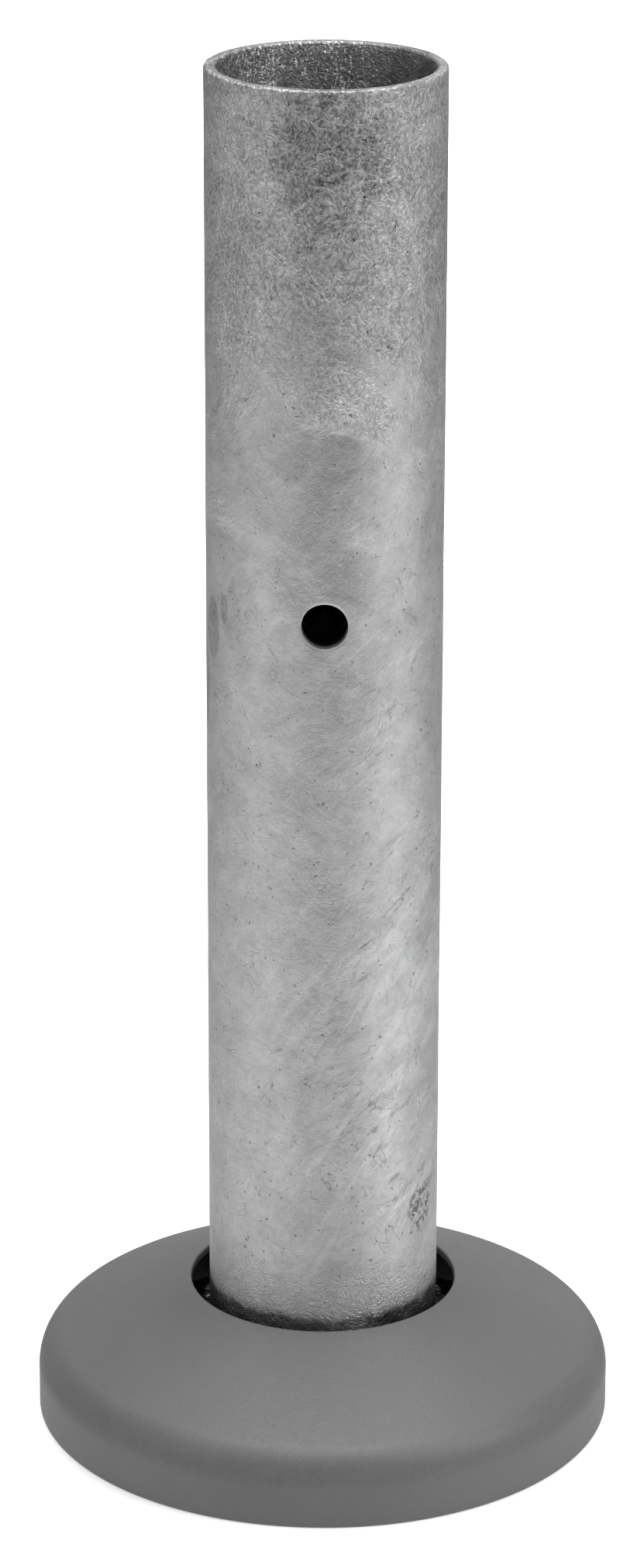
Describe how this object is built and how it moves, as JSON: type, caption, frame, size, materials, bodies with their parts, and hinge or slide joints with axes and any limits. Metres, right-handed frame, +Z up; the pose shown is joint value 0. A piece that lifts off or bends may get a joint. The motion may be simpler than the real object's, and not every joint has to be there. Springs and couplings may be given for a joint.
{
  "type": "lift-out street bollard",
  "caption": "Galvanised tube post that lifts off a bolted-down spigot plate, with a key-turned side bolt inside and a domed cover ring at its foot.",
  "frame": {"origin": "centre of the underside, on the ground", "axes": "+Z up along the post's axis; the key hole faces -Y; the bolt throws towards +X"},
  "size_m": [0.2874, 0.2874, 0.6865],
  "materials": {
    "galvanised_post": "hot-dip galvanised, mottled and lightly weathered",
    "galvanised_plate": "hot-dip galvanised",
    "zinc_plated": "bright zinc plated",
    "bright_steel": "turned and ground",
    "black_steel": "black oxide",
    "cast_zinc": "as cast",
    "bronze": "sintered bronze",
    "black_rubber": "moulded",
    "black_plastic": "moulded",
    "grey_cover": "satin, fine leathery grain"
  },
  "bodies": {
    "ground_base": {"ground_plate": "galvanised_plate", "spigot_flange": "galvanised_plate", "spigot_tube": "galvanised_plate", "spigot_weld": "galvanised_plate", "flange_studs": "zinc_plated", "flange_washers": "zinc_plated", "flange_nuts": "zinc_plated", "foot_ring": "black_rubber", "lower_collar": "black_plastic", "upper_collar": "black_plastic", "spigot_cap": "galvanised_plate", "strike_bar": "galvanised_plate"},
    "post": {"post_tube": "galvanised_post", "lock_carrier": "galvanised_plate", "lock_case": "cast_zinc", "lock_case_cover": "zinc_plated", "case_screws": "black_steel", "case_cover_screws": "zinc_plated", "key_guide": "black_plastic", "spindle_bush": "bronze", "detent_plunger": "black_steel"},
    "key_spindle": {"lock_spindle": "black_steel", "crank_pin": "bright_steel", "spindle_circlip": "black_steel"},
    "bolt": {"lock_bolt": "bright_steel"},
    "cover": {"base_cover": "grey_cover"}
  },
  "joints": [
    {"name": "post_lift", "type": "slide", "parent": "ground_base", "child": "post", "axis": [0, 0, 1], "range_m": [0, 0.45]},
    {"name": "key_turn", "type": "hinge", "parent": "post", "child": "key_spindle", "pos_m": [0, -0.03, 0.4304], "axis": [0, 1, 0], "range_deg": [0, 90]},
    {"name": "bolt_throw", "type": "slide", "parent": "post", "child": "bolt", "axis": [1, 0, 0], "range_m": [0, 0.01414]},
    {"name": "cover_lift", "type": "slide", "parent": "ground_base", "child": "cover", "axis": [0, 0, 1], "range_m": [0, 0.3]}
  ],
  "couplings": [
    {"joint": "key_turn", "follows": "bolt_throw", "rad_per_m": 111.07}
  ]
}
